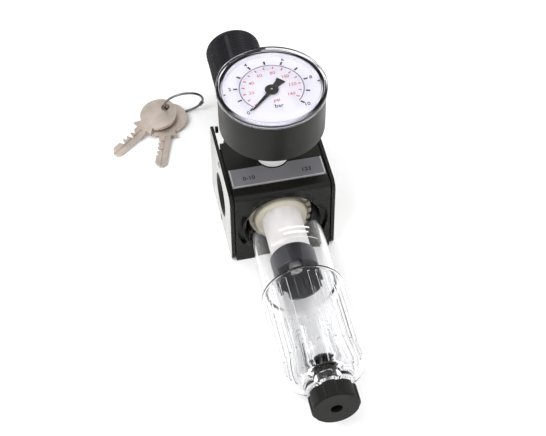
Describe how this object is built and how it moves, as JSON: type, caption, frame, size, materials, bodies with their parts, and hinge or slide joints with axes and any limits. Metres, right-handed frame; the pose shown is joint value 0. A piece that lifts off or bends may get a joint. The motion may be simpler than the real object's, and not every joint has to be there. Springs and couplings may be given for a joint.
{
  "type": "air filter regulator",
  "caption": "Compressed-air filter regulator: black ported block with a pressure gauge, a lockable knurled knob, a clear filter bowl with a drain, and two loose keys on a ring.",
  "frame": {"origin": "middle of the block's back face, in line with the ports", "axes": "+Y along the main axis towards the knob, +Z out of the gauge face, X through the ports; the part lies on its back face"},
  "size_m": [0.0947, 0.2283, 0.09],
  "materials": {
    "black_casting": "gloss black over die-cast zinc alloy",
    "label": "grey anodised, satin",
    "seat_brass": "machined",
    "stem_brass": "machined",
    "nitrile": "matt",
    "spring_steel": "bright drawn wire",
    "acetal": "moulded",
    "cream_plastic": "moulded",
    "porous_filter": "sintered, fine pores",
    "baffle_plastic": "moulded",
    "clear_bowl": "clear polycarbonate, polished",
    "drain_plastic": "moulded",
    "bonnet_plastic": "moulded",
    "knob_plastic": "moulded, knurled",
    "zinc_steel": "zinc plated",
    "nickel": "nickel plated, worn satin",
    "ring_wire": "drawn wire",
    "case_black": "satin black",
    "clear_window": "clear, polished",
    "dial_white": "printed white",
    "pointer_black": "satin black",
    "bronze_tube": "bronze tube",
    "ptfe_tape": "wound tape"
  },
  "bodies": {
    "regulator": {"body": "black_casting", "label_plate": "label", "valve_seat": "seat_brass", "valve_retainer": "acetal", "deflector": "cream_plastic", "filter_seat": "cream_plastic", "filter_element": "porous_filter", "baffle": "baffle_plastic", "tie_bolt": "seat_brass", "diaphragm": "nitrile", "bonnet": "bonnet_plastic", "bonnet_screws": "zinc_steel", "thrust_washer": "seat_brass", "gauge_case": "case_black", "gauge_lens": "clear_window", "gauge_dial": "dial_white", "sector_shaft": "zinc_steel", "movement_plates": "stem_brass", "movement_posts": "zinc_steel", "bourdon_tube": "bronze_tube", "tube_tip": "bronze_tube", "gauge_stem": "stem_brass", "thread_tape": "ptfe_tape", "main_spring": "spring_steel", "poppet_spring": "spring_steel"},
    "poppet": {"poppet": "seat_brass", "poppet_seal": "nitrile", "valve_pin": "seat_brass", "diaphragm_plate": "zinc_steel"},
    "bowl_carrier": {"bowl_oring": "nitrile"},
    "bowl": {"bowl": "clear_bowl"},
    "drain_carrier": {"drain_seal": "nitrile"},
    "drain": {"drain_valve": "drain_plastic", "drain_knob": "drain_plastic"},
    "knob": {"knob": "knob_plastic", "adjusting_screw": "zinc_steel"},
    "lock": {"lock_cylinder": "nickel", "lock_cam": "nickel"},
    "spring_nut": {"spring_nut": "acetal"},
    "pointer": {"gauge_pointer": "pointer_black", "pinion": "stem_brass"},
    "sector": {"sector_gear": "stem_brass"},
    "keys": {"key_ring": "ring_wire"},
    "key_a": {"key_a": "nickel"},
    "key_b": {"key_b": "nickel"}
  },
  "joints": [
    {"name": "knob_turn", "type": "hinge", "parent": "regulator", "child": "knob", "pos_m": [0, 0.075, 0.0212], "axis": [0, -1, 0], "range_deg": [0, 1800]},
    {"name": "nut_travel", "type": "slide", "parent": "regulator", "child": "spring_nut", "axis": [0, -1, 0], "range_m": [0, 0.00751], "deforming": ["main_spring"]},
    {"name": "lock_turn", "type": "hinge", "parent": "knob", "child": "lock", "pos_m": [0, 0.0977, 0.0212], "axis": [0, -1, 0], "range_deg": [0, 90]},
    {"name": "poppet_open", "type": "slide", "parent": "regulator", "child": "poppet", "axis": [0, -1, 0], "range_m": [0, 0.001], "stiffness_N_per_m": 800, "springref_m": -0.001, "deforming": ["poppet_spring", "diaphragm", "main_spring"]},
    {"name": "bowl_unscrew", "type": "slide", "parent": "regulator", "child": "bowl_carrier", "axis": [0, -1, 0], "range_m": [0, 0.00451]},
    {"name": "bowl_turn", "type": "hinge", "parent": "bowl_carrier", "child": "bowl", "pos_m": [0, -0.05, 0.0212], "axis": [0, -1, 0], "range_deg": [0, 1080]},
    {"name": "drain_lift", "type": "slide", "parent": "bowl", "child": "drain_carrier", "axis": [0, 1, 0], "range_m": [0, 0.0015]},
    {"name": "drain_turn", "type": "hinge", "parent": "drain_carrier", "child": "drain", "pos_m": [0, -0.12, 0.0212], "axis": [0, -1, 0], "range_deg": [0, 361]},
    {"name": "pointer_turn", "type": "hinge", "parent": "regulator", "child": "pointer", "pos_m": [0, -0.0015, 0.08], "axis": [0, 0, -1], "range_deg": [0, 270]},
    {"name": "sector_turn", "type": "hinge", "parent": "regulator", "child": "sector", "pos_m": [0.0165, -0.0015, 0.08], "axis": [0, 0, 1], "range_deg": [0, 60]},
    {"name": "keys_lift", "type": "slide", "parent": "regulator", "child": "keys", "axis": [0, 0, 1], "range_m": [0, 0.05]},
    {"name": "key_a_swing", "type": "hinge", "parent": "keys", "child": "key_a", "pos_m": [-0.03939, 0.077, 0.007], "axis": [-0.1339, -0.0938, 0.9865], "range_deg": [-10, 10]},
    {"name": "key_b_swing", "type": "hinge", "parent": "keys", "child": "key_b", "pos_m": [-0.03726, 0.07815, 0.0036], "axis": [-0.0209, -0.0685, 0.9974], "range_deg": [-8, 8]}
  ],
  "couplings": [
    {"joint": "bowl_unscrew", "follows": "bowl_turn", "m_per_rad": 0.00023873},
    {"joint": "nut_travel", "follows": "knob_turn", "m_per_rad": 0.00023873},
    {"joint": "drain_turn", "follows": "drain_lift", "rad_per_m": 4188.8},
    {"joint": "pointer_turn", "follows": "sector_turn", "ratio": 4.5}
  ]
}
